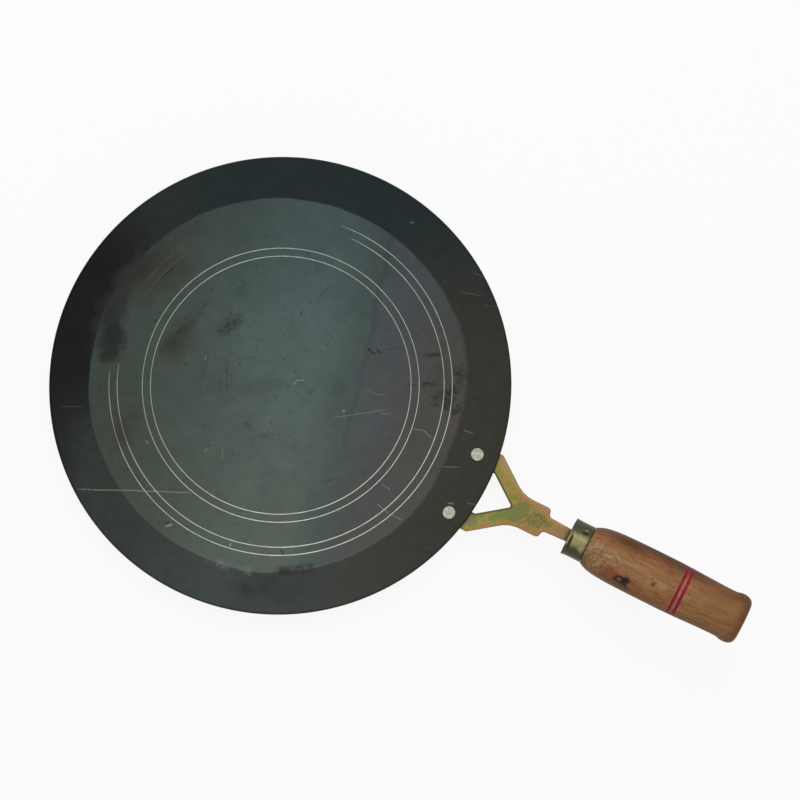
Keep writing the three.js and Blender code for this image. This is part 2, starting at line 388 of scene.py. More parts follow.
def ring_depth(ring, angles):
    """Depth of a ring round the pan: uneven, and none over its bare arc."""
    circle = turned_points(angles, ring["radius"])
    depth = RING_DEPTH * (1.0 + 0.12 * noise_at(circle, 12.0, ring["radius"]))
    if ring["bare_arc"]:
        first, last = ring["bare_arc"]
        off = np.degrees(np.abs(turned_from(angles, (first + last) / 2)))
        depth = depth * np.sqrt(np.clip((off - (last - first) / 2) / RING_FADE, 0.0, 1.0))
    return depth


def pan_rows(angles):
    """Rows from the inside's middle over the rim to the underside's, as radii, heights and band labels.
    A label names the band of faces that starts at its row."""
    rows = []

    def add(radius, label="inside", sink=0.0):
        rows.append((radius, dish_height(DISH_RADIUS, radius) - sink, label))

    for radius in FLOOR_ROWS:
        add(radius)
    for index, ring in enumerate(RINGS):
        depth = ring_depth(ring, angles)
        half = np.maximum(depth * math.tan(rad(RING_FLANK)), RING_LEAST)
        add(ring["radius"] - RING_MARGIN)
        add(ring["radius"] - half, index)
        add(ring["radius"], index, depth)
        add(ring["radius"] + half)
        add(ring["radius"] + RING_MARGIN)
        if index == 1:
            for radius in RING_ROWS:
                add(radius)
    crease = crease_radius(angles)
    for step in CREASE_ROWS:
        add(crease + step)
    for radius in FLARE_ROWS:
        add(radius)
    under = DISH_RADIUS + PAN_SHEET
    rim_angle = math.asin((PAN_RADIUS - FLAT_RADIUS) / under)
    corner = quarter_round(RIM_ROUNDING, 6)
    inside = [(DISH_RADIUS + drop, inset) for drop, inset in corner]
    outside = [(under - drop, inset) for drop, inset in corner[::-1]]
    for radius, inset in inside + outside:
        angle = rim_angle - inset / radius
        height = PAN_SHEET + DISH_RADIUS - radius * math.cos(angle)
        rows.append((FLAT_RADIUS + radius * math.sin(angle), height, "rim"))
    for radius in UNDER_ROWS:
        rows.append((radius, dish_height(under, radius), "under"))
    return rows, crease


def pan_mesh():
    angles = angles_round(PAN_COLUMNS)
    rows, crease = pan_rows(angles)
    radii = np.array([row[0] + np.zeros_like(angles) for row in rows])
    heights = np.array([row[1] + np.zeros_like(angles) for row in rows])
    labels = [row[2] for row in rows]
    points = turned_points(angles, radii, heights)
    flat = points * np.array((1.0, 1.0, 0.0))
    past_crease = radii - crease
    points[..., 2] += PAN_WAVE * noise_at(flat, 70.0, 3) * smooth_step(radii, 45.0, 90.0)
    inside = np.array([label not in ("rim", "under") for label in labels])[:, None]
    rise = smooth_step(past_crease, -0.4, 0.4) * (1 - smooth_step(radii, 128.0, 137.0))
    points[..., 2] += FLARE_RISE * rise * inside
    mesh = turned_mesh("pan_pressed", points, (0, 0, PAN_SHEET), (0, 0, 0))
    store(mesh, "past_crease", np.append(past_crease, [-CREASE_RADIUS, -CREASE_RADIUS]))
    depths = [ring_depth(ring, angles) for ring in RINGS]
    bands = labels[:-1] + ["inside", "under"]
    for face in mesh.polygons:
        row, column = divmod(face.index, PAN_COLUMNS)
        if bands[row] == "under":
            face.material_index = 2
        elif isinstance(bands[row], int):
            face.material_index = 1 if depths[bands[row]][column] > RING_LEAST else 0
    return mesh


# Rivets

def rivet_mesh(name, seed):
    """A domed head below, a shank, and a hammered flat head above."""
    base = -(PAN_SHEET + FIT_GAP + BRACKET_PLATE + FIT_GAP)
    top = FIT_GAP + HEAD_HEIGHT
    sweep = np.linspace(0.12, math.pi / 2, 12)
    dome = [(DOME_RADIUS * math.sin(t), base - DOME_HEIGHT * math.cos(t)) for t in sweep]
    shank = [
        (SHANK_RADIUS, base), (SHANK_RADIUS, FIT_GAP),
        (HEAD_RADIUS - 0.1, FIT_GAP), (HEAD_RADIUS, FIT_GAP + 0.1),
    ]
    edge = [(HEAD_RADIUS - inset, top - drop) for inset, drop in quarter_round(HEAD_ROUNDING, 6)]
    face = [(radius, top) for radius in np.arange(3.3, 0.2, -0.3)]
    profile = np.array(dome + shank + edge + face)
    angles = angles_round(RIVET_COLUMNS)
    heights = profile[:, 1:] + np.zeros_like(angles)
    points = turned_points(angles, profile[:, :1], heights)
    struck = smooth_step(heights, top - HEAD_ROUNDING, top)
    struck = struck + smooth_step(-heights, -base, DOME_HEIGHT - base)
    points[..., 2] += struck * (0.07 * noise_at(points, 2.4, seed) - 0.05)
    edge_noise = 1 + 0.02 * noise_at(points * np.array((1, 1, 0)), 3.0, seed + 4)
    points[..., :2] *= np.where(points[..., 2:] > FIT_GAP, edge_noise[..., None], 1.0)
    return turned_mesh(name, points, (0, 0, base - DOME_HEIGHT), (0, 0, top - 0.05))


# Bracket

def arc(centre, radius, first, last, steps=10):
    return [
        (centre[0] + radius * math.cos(t), centre[1] + radius * math.sin(t))
        for t in np.linspace(first, last, steps)
    ]


def bracket_outline():
    """The bracket laid flat: x is 0 on the bend, pads towards -x, tang towards +x."""
    pad_inner = (RIVET_SPREAD - PAD_WIDTH) / 2
    pad_outer = (RIVET_SPREAD + PAD_WIDTH) / 2
    rivet = RIVET_DISTANCE - BEND_DISTANCE
    arm = math.atan2(pad_inner, WINDOW_LENGTH)
    half = BODY_WIDTH / 2
    root = TANG_ROOT_WIDTH / 2
    rounding = (half - root) / 2
    corner = (pad_outer - half) / math.tan(arm)
    reach = BODY_FILLET * math.tan(arm / 2)
    tang = SHOULDER_DISTANCE + rounding
    tip = WINDOW_LENGTH - WINDOW_TIP / math.sin(arm)
    quarter = math.pi / 2
    side = [
        *arc((tip, 0), WINDOW_TIP, 0, quarter - arm, 5),
        (0, pad_inner),
        *arc((rivet, RIVET_SPREAD / 2), PAD_WIDTH / 2, -quarter, -3 * quarter, 16),
        (0, pad_outer),
        *arc((corner + reach, half + BODY_FILLET), BODY_FILLET, -quarter - arm, -quarter),
        *arc((SHOULDER_DISTANCE - rounding, half - rounding), rounding, quarter, 0, 8),
        *arc((tang, root + rounding), rounding, -math.pi, -quarter, 8)[1:],
        (tang + TANG_LENGTH, TANG_TIP_WIDTH / 2),
    ]
    mirrored = [(x, -y) for x, y in reversed(side) if y > 1e-6]
    return side + mirrored


def edge_distance(points, corners):
    """Distance in the plane from each point to the nearest side of a chain of corners."""
    nearest = np.full(len(points), np.inf)
    for first, last in zip(corners, corners[1:]):
        start = np.array(first)
        side = np.array(last) - start
        share = np.clip(((points - start) @ side) / (side @ side), 0.0, 1.0)
        nearest = np.minimum(nearest, np.linalg.norm(points - start - share[:, None] * side, axis=1))
    return nearest


def bent(points):
    """Points of the flat bracket, with its pads laid along the pan's underside."""
    frame_matrix = np.array(handle_frame())
    flat = points @ frame_matrix[:3, :3].T + frame_matrix[:3, 3] / MM
    x = BEND_DISTANCE + points[:, 0]
    y = BRACKET_OFFSET + points[:, 1]
    distance = np.hypot(x, y)
    angle = dish_angle(SEAT_MIDDLE, distance)
    inward = np.stack([-np.sin(angle) * x / distance, -np.sin(angle) * y / distance, np.cos(angle)], axis=1)
    seat = np.stack([x, y, dish_height(SEAT_MIDDLE, distance)], axis=1) + inward * points[:, 2:]
    share = smooth_step(points[:, :1], -3.0, 1.0)
    return seat * (1 - share) + flat * share


def bracket_mesh():
    outline = bracket_outline()
    shape = bmesh.new()
    corners = [shape.verts.new((x * MM, y * MM, -BRACKET_PLATE / 2 * MM)) for x, y in outline]
    lower = shape.faces.new(corners)
    raised = bmesh.ops.extrude_face_region(shape, geom=[lower])["geom"]
    upper = [item for item in raised if isinstance(item, bmesh.types.BMVert)]
    bmesh.ops.translate(shape, verts=upper, vec=(0, 0, BRACKET_PLATE * MM))
    rivet = RIVET_DISTANCE - BEND_DISTANCE
    places = [Matrix.Translation(Vector((rivet, side * RIVET_SPREAD / 2, 0)) * MM) for side in (1, -1)]
    plate = cut(mesh_of(shape, "plate"), "plate", hole_cutters(places))
    mesh = modified(plate, "bracket_forked", [
        ("REMESH", {"mode": "VOXEL", "voxel_size": BRACKET_VOXEL * MM}),
        ("SMOOTH", {"factor": 0.5, "iterations": 6}),
    ])
    flat = np.array([vertex.co for vertex in mesh.vertices]) / MM
    bend = [index for index, corner in enumerate(outline) if corner[0] == 0]
    outer_side = outline[bend[1]:bend[2] + 1]
    for name, corners in (("edge_distance", outline + outline[:1]), ("outer_distance", outer_side)):
        store(mesh, name, edge_distance(flat[:, :2], corners))
    level = flat * np.array((1, 1, 0))
    flat[:, 2] += 0.12 * noise_at(level, 9.0, 11)
    mesh.vertices.foreach_set("co", (bent(flat) * MM).ravel())
    face_outward(mesh)
    return mesh


# Ferrule and grip: x along the handle, angles from its top towards +Y

def round_points(distances, radii, angles):
    """Points of rows round the handle's axis. distances and radii hold a value for each row and angle."""
    return np.stack([distances, radii * np.sin(angles), radii * np.cos(angles)], axis=-1)


def swept(section):
    """Distances, radii and angles of a section's points, repeated round the handle."""
    angles = angles_round(HANDLE_COLUMNS)
    return section[:, :1] + np.zeros_like(angles), section[:, 1:] + np.zeros_like(angles), angles


def sunk(marks, distances, angles, radius):
    """Depth of these marks at each point. A mark fades away along the handle and round it."""
    depth = np.zeros_like(distances)
    for deepest, place, direction, half_length, half_width in marks.values():
        round_way = radius * turned_from(angles, direction)
        off = ((distances - place) / half_length) ** 2 + (round_way / half_width) ** 2
        depth = depth + deepest * np.exp(-off)
    return depth


def ferrule_mesh():
    """A tube, belled in front, with a lip peeled up over a dent and a punch mark that stakes it."""
    corner = quarter_round(FERRULE_ROUNDING, 5)
    front = [(inset, FERRULE_RADIUS - drop) for inset, drop in corner]
    straight = [(x, FERRULE_RADIUS) for x in np.arange(0.5, FERRULE_LENGTH - 0.4, 0.2)]
    back = [(FERRULE_LENGTH - inset, FERRULE_RADIUS - drop) for inset, drop in corner[::-1]]
    bore = FERRULE_RADIUS - FERRULE_WALL
    inside = [(x, bore) for x in np.linspace(FERRULE_LENGTH, 0.0, 9)]
    section = np.array(front + straight + back + inside)
    distances, radii, angles = swept(section)
    skin = smooth_step(radii, bore + 0.2, FERRULE_RADIUS - 0.1)
    hollow = np.clip(sunk(FERRULE_HOLLOWS, distances, angles, FERRULE_RADIUS), 0.0, FERRULE_DEEPEST)
    raised = sunk(FERRULE_LIPS, distances, angles, FERRULE_RADIUS)
    belled = FERRULE_BELL * (1 - smooth_step(distances, 0.0, 4.0))
    belled = belled + FERRULE_BELL_BACK * smooth_step(distances, 9.5, FERRULE_LENGTH)
    points = round_points(distances, radii, angles)
    uneven = 0.07 * noise_at(points, 7.0, 21)
    radii = radii + skin * (raised + belled + uneven - hollow)
    front_wave = noise_at(points * np.array((0, 1, 1)), 6.0, 22)
    distances = distances + 0.2 * front_wave * (1 - smooth_step(distances, 0.0, 2.0))
    mesh = turned_mesh("ferrule_staked", round_points(distances, radii, angles))
    store(mesh, "hollow", hollow * skin)
    store(mesh, "raised", raised * skin)
    return mesh


def bezier(start, first, second, end, steps):
    share = np.linspace(0.0, 1.0, steps)[1:, None]
    back = 1 - share
    corners = [np.array(point) for point in (start, first, second, end)]
    return (back ** 3 * corners[0] + 3 * back ** 2 * share * corners[1]
            + 3 * back * share ** 2 * corners[2] + share ** 3 * corners[3])


def grip_profile():
    """Distances and radii along the wood, from the front of its spigot to its far end."""
    waist = (GRIP_WAIST - GRIP_BELLY) / 3
    bead = (GRIP_BEAD - GRIP_WAIST) / 2
    front = (0.0, GRIP_FRONT_RADIUS)
    belly = (GRIP_BELLY, GRIP_BELLY_RADIUS)
    narrow = (GRIP_WAIST, GRIP_WAIST_RADIUS)
    swell = (GRIP_BEAD, GRIP_BEAD_RADIUS)
    end = (GRIP_LENGTH, GRIP_END_RADIUS)
    spigot = [(-SPIGOT_LENGTH, radius) for radius in (3.0, 6.0, 9.0)]
    spigot += [(x, SPIGOT_RADIUS) for x in np.linspace(-SPIGOT_LENGTH, -0.05, 8)]
    parts = [
        np.array(spigot),
        np.array([(0.0, SPIGOT_RADIUS + 0.05), (0.0, GRIP_FRONT_RADIUS - 0.25), (0.1, GRIP_FRONT_RADIUS)]),
        bezier(front, (GRIP_SHOULDER / 2, GRIP_BELLY_RADIUS),
               (GRIP_SHOULDER, GRIP_BELLY_RADIUS), belly, 130)[1:],
        bezier(belly, (GRIP_BELLY + waist, GRIP_BELLY_RADIUS),
               (GRIP_WAIST - waist, GRIP_WAIST_RADIUS), narrow, 80),
        bezier(narrow, (GRIP_WAIST + bead, GRIP_WAIST_RADIUS),
               (GRIP_BEAD - bead, GRIP_BEAD_RADIUS), swell, 16),
        bezier(swell, (GRIP_LENGTH, GRIP_BEAD_RADIUS), (GRIP_LENGTH, GRIP_END_RADIUS), end, 22),
        np.array([(GRIP_LENGTH, radius) for radius in (10.0, 8.5, 7.0, 5.5, 4.0, 2.5, 1.2)]),
    ]
    return np.concatenate(parts)


def grip_mesh():
    distances, radii, angles = swept(grip_profile())
    points = round_points(distances, radii, angles)
    skin = smooth_step(distances, -0.02, 0.6) * smooth_step(radii, 8.0, 11.0)
    torn = np.clip(sunk(GRIP_TORN, distances, angles, GRIP_BELLY_RADIUS) - 0.25, 0.0, 1.0)
    fibres = noise_at(points, np.array((5.0, 0.9, 0.9)), 31)
    pits = np.clip(noise_at(points, np.array((1.7, 1.0, 1.0)), 32), 0.0, 1.0)
    sink = 0.1 + 0.05 * fibres + torn * (0.55 * pits + 0.12 * fibres)
    sink = sink + 0.1 * noise_at(points, np.array((30.0, 12.0, 12.0)), 33)
    sink = sink + sunk(GRIP_HOLLOWS, distances, angles, GRIP_BELLY_RADIUS)
    points = round_points(distances, radii - skin * sink, angles)
    return turned_mesh("grip_turned", points, (-SPIGOT_LENGTH, 0, 0), (GRIP_LENGTH, 0, 0))


def tang_slot():
    """The cutter for the tang's place in the wood."""
    root = TANG_ROOT_WIDTH / 2 + FIT_GAP
    tip = TANG_TIP_WIDTH / 2 + FIT_GAP
    start = SHOULDER_DISTANCE + (BODY_WIDTH - TANG_ROOT_WIDTH) / 4
    first = start - GRIP_FACE
    last = first + TANG_LENGTH + FIT_GAP
    height = BRACKET_PLATE / 2 + FIT_GAP
    shape = bmesh.new()
    ends = [
        [shape.verts.new(Vector((x, y * half, z * height)) * MM) for y, z in SQUARE]
        for x, half in ((first, root), (last, tip))
    ]
    shape.faces.new(ends[0])
    shape.faces.new(ends[1])
    for index in range(4):
        after = (index + 1) % 4
        shape.faces.new((ends[0][index], ends[0][after], ends[1][after], ends[1][index]))
    return mesh_of(shape, "slot")


# Nodes

class Value:
    """An output of a node. Sums with other outputs and with numbers add the nodes that work them out."""

    def __init__(self, nodes, socket):
        self.nodes = nodes
        self.socket = socket

    def __add__(self, other):
        return self.nodes.math("ADD", self, other)

    def __sub__(self, other):
        return self.nodes.math("SUBTRACT", self, other)

    def __mul__(self, other):
        return self.nodes.math("MULTIPLY", self, other)

    def __truediv__(self, other):
        return self.nodes.math("DIVIDE", self, other)

    def __abs__(self):
        return self.nodes.math("ABSOLUTE", self)

    def span(self, low, high, low_to, high_to):
        """Runs smoothly from low_to to high_to as the value goes from low to high."""
        if low > high:
            low, high, low_to, high_to = high, low, high_to, low_to
        inputs = enumerate((self, low, high, low_to, high_to))
        return self.nodes.add("MapRange", inputs, interpolation_type="SMOOTHSTEP")

    def step(self, low, high, share=1.0):
        """Runs smoothly from 0 to share as the value goes from low to high."""
        return self.span(low, high, 0.0, share)

    def swing(self, reach, low=0.25, high=0.75):
        """Runs smoothly from -reach to reach as the value goes from low to high."""
        return self.span(low, high, -reach, reach)


class Nodes:
    """Adds nodes to a tree. An input is a number, a vector, a colour or a Value."""

    def __init__(self, tree):
        self.tree = tree

    def feed(self, socket, value):
        if isinstance(value, Value):
            self.tree.links.new(value.socket, socket)
        else:
            socket.default_value = value

    def add(self, kind, inputs=(), output=0, **settings):
        """Adds a node and gives one of its outputs. inputs pairs each socket with what feeds it."""
        node = self.tree.nodes.new("ShaderNode" + kind)
        for setting, value in settings.items():
            setattr(node, setting, value)
        for socket, value in dict(inputs).items():
            self.feed(node.inputs[socket], value)
        return Value(self, node.outputs[output])

    def math(self, operation, *inputs):
        return self.add("Math", enumerate(inputs), operation=operation)

    def vector(self, operation, *inputs, output="Vector"):
        return self.add("VectorMath", enumerate(inputs), output, operation=operation)


class Shader(Nodes):
    """A material that is painted in layers. at is the place on it, in millimetres of its own frame."""

    def __init__(self, name, rgb=(0, 0, 0), own_frame=Matrix.Identity(4)):
        self.material = bpy.data.materials.new(name)
        self.material.use_nodes = True
        super().__init__(self.material.node_tree)
        self.surface = self.tree.nodes["Principled BSDF"]
        self.paint = srgb(*rgb)
        found = self.add("TexCoord", output="Object")
        self.at = self.mapped(found, "TEXTURE", own_frame.translation, own_frame.to_euler(), (MM,) * 3)

    def mapped(self, at, kind, shift=(0, 0, 0), turn=(0, 0, 0), scale=(1, 1, 1)):
        inputs = {"Vector": at, "Location": shift, "Rotation": turn, "Scale": scale}
        return self.add("Mapping", inputs, vector_type=kind)

    def stretched(self, scale, shift=(0, 0, 0)):
        return self.mapped(self.at, "POINT", shift, scale=scale)

    def wobble(self, at, size, reach):
        """The place, pushed about by noise."""
        push = self.vector("SUBTRACT", self.noise(size, 2.0, at=at, output="Color"), (0.5, 0.5, 0.5))
        return self.vector("ADD", at, self.vector("MULTIPLY", push, (2 * reach,) * 3))

    def parts(self, at):
        """The x, y and z of a place."""
        node = self.add("SeparateXYZ", {0: at}).socket.node
        return [Value(self, socket) for socket in node.outputs]

    def along(self, azimuth):
        """How far the place lies in a direction of the ground plane."""
        direction = (math.cos(rad(azimuth)), math.sin(rad(azimuth)), 0)
        return self.vector("DOT_PRODUCT", self.at, direction, output="Value")

    def noise(self, size, detail=3.0, roughness=0.55, distortion=0.0, at=None, output="Fac"):
        inputs = {
            "Vector": at or self.at, "Scale": 1.0 / size, "Detail": detail,
            "Roughness": roughness, "Distortion": distortion,
        }
        return self.add("TexNoise", inputs, output)

    def attribute(self, name):
        return self.add("Attribute", output="Fac", attribute_name=name)

    def local(self, at, centre, turn, half_sizes):
        """Coordinates that are 1 at the ends of a turned box in the ground plane."""
        return self.mapped(at, "TEXTURE", (*centre, 0), (0, 0, rad(turn)), (*half_sizes, 1e6))

    def blot(self, at, centre, turn, half_sizes, soft, ragged=0.0):
        """1 in the middle of an oval, 0 outside it. soft is the share that fades, ragged shifts the edge."""
        reach = self.vector("LENGTH", self.local(at, centre, turn, half_sizes), output="Value")
        return (reach + ragged).step(1.0, 1.0 - soft)

    def line(self, at, centre, turn, half_length, half_width):
        """1 along a straight scratch."""
        inside = self.vector("ABSOLUTE", self.local(at, centre, turn, (half_length, half_width)))
        length, width, _ = self.parts(inside)
        return length.step(1.0, 0.85) * width.step(1.3, 0.3)

    def mix(self, share, first, second):
        return self.add("Mix", {0: share, 6: first, 7: second}, 2, data_type="RGBA")

    def dim(self, colour, share):
        """The colour times a number, or times a number for each channel."""
        return self.vector("MULTIPLY", colour, share)

    def layered(self, rgb, *layers):
        """A colour under layers, each given as its own colour and how much of it covers."""
        colour = srgb(*rgb)
        for tint, share in layers:
            colour = self.mix(share, colour, srgb(*tint))
        return colour

    def tint(self, rgb, share):
        """Lays a colour over the paint."""
        self.paint = self.mix(share, self.paint, srgb(*rgb))

    def shade(self, share):
        self.paint = self.dim(self.paint, share)

    def blots(self, marks, rgb, soft, ragged, worn=1.0, at=None):
        """Lays oval marks over the paint. worn is how much of each is left from place to place."""
        for centre, turn, half_sizes, strength in marks.values():
            share = self.blot(at or self.at, centre, turn, half_sizes, soft, ragged)
            self.tint(rgb, share * worn * strength)

    def bump(self, height, strength, distance):
        inputs = {"Height": height, "Strength": strength, "Distance": distance * MM}
        self.feed(self.surface.inputs["Normal"], self.add("Bump", inputs))

    def finished(self, **inputs):
        """The material, with its paint and these inputs of its surface."""
        self.feed(self.surface.inputs["Base Color"], self.paint)
        for name, value in inputs.items():
            self.feed(self.surface.inputs[name.replace("_", " ")], value)
        return self.material


# Materials

# Marks on the pan's inside: centre, turn, half sizes and strength of each.
STAINS_DARK = {
    "smudge": ((-105, -17), 93, (13, 11), 0.95),
    "smudge_tip": ((-102, -24), 75, (9.5, 7.5), 0.9),
    "smudge_neck": ((-111, -5), 93, (9, 6.5), 0.6),
}
STAINS_STREAKED = {
    "cluster": ((95, 36), 46, (11, 8), 1.0),
    "cluster_low": ((102, 32), 356, (9, 6), 1.0),
    "cluster_edge": ((95.5, 52.5), 347, (8, 6), 0.9),
    "cluster_line": ((81, 39), 25, (14, 1.6), 0.9),
    "cluster_curve": ((77.5, 58), 27, (9, 1.8), 0.9),
}
STAINS_SMEARED = {
    "lower_edge": ((58, -98), 30, (16, 5.5), 0.85),
    "lower_edge_left": ((51, -102), 26, (10, 4.5), 0.9),
    "lower_flare": ((46, -115), 24, (27, 13), 0.55),
    "lower_flare_left": ((38, -119), 20, (13, 8), 0.4),
}
STAINS_BROWN = {
    "upper_haze": ((-99, 39), 69, (46, 21), 0.65),
    "upper_haze_end": ((-90, 64), 55, (14, 9), 0.45),
    "inner_haze": ((-70, -2), 80, (26, 14), 0.85),
    "ring_patch": ((-76.5, -66), 113, (16, 9), 0.8),
    "ring_patch_top": ((-73.5, -53.5), 155, (7.5, 6), 0.55),
    "smudge_top": ((-110.5, -1), 84, (12, 10), 0.55),
    "rust": ((-89, 68.5), 340, (5, 4), 0.8),
    "under_diagonal": ((-44, 21.5), 62, (15, 8), 0.35),
}
RUBBED = {
    "diagonal": ((-44, 21.5), 62, (16, 8), 1.0),
    "diagonal_top": ((-49, 41.5), 63, (9, 5), 0.7),
    "left_group": ((-34, -10), 110, (20, 12), 0.55),
    "arc_group": ((-46, -14), 106, (24, 4), 0.5),
    "inner_patch": ((-72.5, -6), 94, (10.5, 4.5), 0.85),
    "far_group": ((-66, 15), 76, (18, 6), 0.5),
    "spot_left": ((-32, -42.5), 25, (7, 3.5), 0.6),
    "spot_middle": ((-7, -31.5), 350, (6, 3.5), 0.5),
    "spot_right": ((4.5, -33), 343, (5, 3.5), 0.5),
    "middle_group": ((-10, -6), 30, (20, 8), 0.35),
    "handle_group": ((32, 14), 350, (9, 6), 0.45),
    "handle_edge": ((85, 45), 118, (20, 12), 0.3),
}
SPECKS = {
    "left": ((-36.5, -7), 0, (0.7, 0.7), 0.8),
    "middle": ((4.5, 26), 0, (0.8, 0.7), 0.9),
    "upper": ((18.5, 52.5), 0, (0.6, 0.6), 0.8),
    "upper_left": ((-1, 32.5), 0, (0.6, 0.6), 0.6),
    "lower": ((29.5, -10.5), 0, (0.6, 0.6), 0.7),
    "near_ring": ((-99, -47.5), 23, (1.8, 1.2), 0.7),
    "tick": ((18.5, 4.5), 59, (2.8, 0.5), 0.5),
    "tick_right": ((41, 42.5), 351, (3.2, 1.1), 0.9),
    "tick_far": ((45, 44.5), 353, (2.8, 0.9), 0.8),
    "line_right": ((52, 49.5), 38, (8, 0.6), 0.4),
    "line_left": ((-63.5, 25), 74, (4.5, 0.8), 0.6),
    "line_left_low": ((-70.5, 3.5), 76, (5, 0.9), 0.7),
    "patch_dot": ((-70.5, -4), 60, (2.2, 1.1), 0.7),
    "patch_dot_low": ((-75, -11), 60, (2, 1.1), 0.7),
    "trace_dash": ((-92, 33.5), 68, (8, 0.9), 0.75),
    "dash_first": ((-10.5, 35.5), 78, (4.2, 0.5), 0.4),
    "dash_second": ((-8.5, 46), 91, (2.4, 0.6), 0.55),
    "dash_third": ((-7, 54), 69, (3.2, 0.7), 0.55),
    "dash_fourth": ((-1, 64), 78, (6, 0.6), 0.45),
    "line_lower": ((52, -40.5), 46, (6.6, 0.6), 0.6),
    "ring_nick": ((44.5, -92), 324, (4.5, 0.9), 0.8),
}
# Scratches: centre, turn, half length, half width and strength of each.
SCRATCHES = {
    "long": ((-54, -95), 21, 36, 0.42, 0.45),
    "middle_long": ((51.5, 5), 34, 17, 0.25, 0.4),
    "middle_short": ((65.5, 11.5), 28, 3.3, 0.3, 0.45),
    "middle_high": ((51.5, 20), 357, 3, 0.25, 0.3),
    "middle_high_end": ((57.5, 21), 20, 3.3, 0.25, 0.35),
    "middle_dot": ((41.5, 2), 20, 0.7, 0.6, 0.8),
    "hook_stem": ((6.5, 5), 71, 1.9, 0.35, 0.7),
    "hook_top": ((9, 8), 25, 2.6, 0.3, 0.6),
    "tick_left": ((-49, -4), 97, 1.6, 0.3, 0.5),
    "tick_low": ((-24.5, -55.5), 81, 1.5, 0.35, 0.45),
    "tick_low_right": ((-14.5, -53.5), 291, 3.6, 0.3, 0.35),
    "tick_ring": ((-59.5, -65.5), 339, 1.5, 0.4, 0.5),
    "curve_first": ((87.5, 11.5), 17, 3.1, 0.3, 0.5),
    "curve_second": ((94, 11.5), 339, 3.8, 0.3, 0.5),
    "ring_cross": ((89, -42), 343, 4.5, 0.3, 0.45),
    "ring_cross_end": ((98, -43), 3, 4.6, 0.3, 0.4),
    "ring_cross_high": ((85.5, -29), 352, 3.3, 0.3, 0.4),
    "flare_low": ((115, -0.5), 25, 6, 0.3, 0.35),
    "flare_rivet": ((124.5, -20.5), 27, 1.8, 0.5, 0.5),
    "flare_rim": ((136, -15), 17, 3.3, 0.3, 0.3),
    "flare_high": ((115.5, 24), 7, 3.2, 0.3, 0.4),
    "flare_top_first": ((77.5, 113.5), 4, 3.2, 0.25, 0.2),
    "flare_top_second": ((78.5, 101), 14, 6.8, 0.25, 0.2),
    "flare_top_third": ((92, 99.5), 18, 4.7, 0.25, 0.18),
    "flare_dash": ((27, 124.5), 26, 1.5, 0.4, 0.4),
    "left": ((-109, -63), 22, 7, 0.25, 0.12),
    "chip_left": ((-26, -106), 40, 2.2, 0.6, 0.75),
    "chip_low": ((13.5, -101.5), 100, 1.2, 0.5, 0.8),
}
SCUFFS = {
    "low_left": ((12, -115), 8, (10, 3), 0.6),
    "low_right": ((27, -111.5), 14, (8, 2.6), 0.7),
}


def floor_tone_and_shade(shader, reach, clouds):
    """The ground floor: grey-green, plum-grey towards the handle, and darker and browner on the far side:
    painted shade over a brown haze. It also grows darker outwards.
    """
    upward = shader.along(PHOTO_UP)
    handleward = shader.along(15)
    teal = shader.layered(
        (83, 93, 86),
        ((73, 91, 90), upward.step(-90, 100)),
        # painted shade over a brown haze: darker and browner towards the far side
        ((61, 68, 60), shader.along(190).step(-12, 92, 0.75)),
        ((68, 80, 78), handleward.step(18, 43, 0.8)),
    )
    plum = shader.layered(
        (72, 80, 80),
        ((74, 76, 78), handleward.step(46, 68)),
        ((77, 74, 71), handleward.step(58, 104)),
        ((70, 80, 82), upward.step(10, 80, 0.7)),
        ((75, 75, 72), upward.step(-20, -90, 0.7)),
    )
    border = handleward + clouds.swing(2.5, 0.3, 0.7)
    tone = shader.mix(border.step(42, 56), teal, plum)
    worn_edge = border.step(44, 47) * border.step(50, 47) * upward.span(-70, -10, 0.05, 0.4)
    tone = shader.mix(worn_edge, tone, srgb(50, 60, 62))
    return shader.dim(tone, reach.span(40, 112, 1.0, 0.84))


def flare_tone_and_shade(shader, reach):
    """The unground flare, darker than the floor. Its tones by direction are painted reflection and shade:
    grey below, brown at the handle, near black on the far side; a painted shade band darkens the rim.
    """
    upward = shader.along(PHOTO_UP)
    # painted reflection and shade: lighter below, browner at the handle, darker towards the top and the far
    # side
    tone = shader.layered(
        (51, 58, 55),
        ((30, 40, 41), upward.step(-110, 50)),
        ((50, 48, 42), shader.along(PHOTO_RIGHT).step(-35, 98) * upward.step(115, 15)),
        ((44, 47, 44), shader.along(200).step(30, 120, 0.7)),
        ((22, 22, 20), shader.along(205).step(116, 138, 0.7)),
    )
    # painted shade: a little darker out towards -40 degrees, near black on the far side
    tone = shader.dim(tone, shader.along(-40).span(80, 130, 1.0, 0.88))
    far_side_shade = shader.along(184) / reach
    tone = shader.mix(far_side_shade.step(0.8, 0.985), tone, srgb(17, 17, 17))
    # painted shade along the rim
    return shader.dim(tone, reach.span(PAN_RADIUS - RIM_SHADE, PAN_RADIUS, 1.0, 0.6))


def polar_noise(shader, reach, round_scale, out_scale, detail):
    """Noise laid out round the pan's middle: how fast it changes round the pan and out from it."""
    rising = shader.vector("MULTIPLY", (0, 0, 1), reach * out_scale)
    outward = shader.vector("NORMALIZE", shader.vector("MULTIPLY", shader.at, (1, 1, 0)))
    round_way = shader.vector("MULTIPLY", outward, (round_scale,) * 3)
    return shader.noise(1.0, detail, 0.65, at=shader.vector("ADD", round_way, rising))


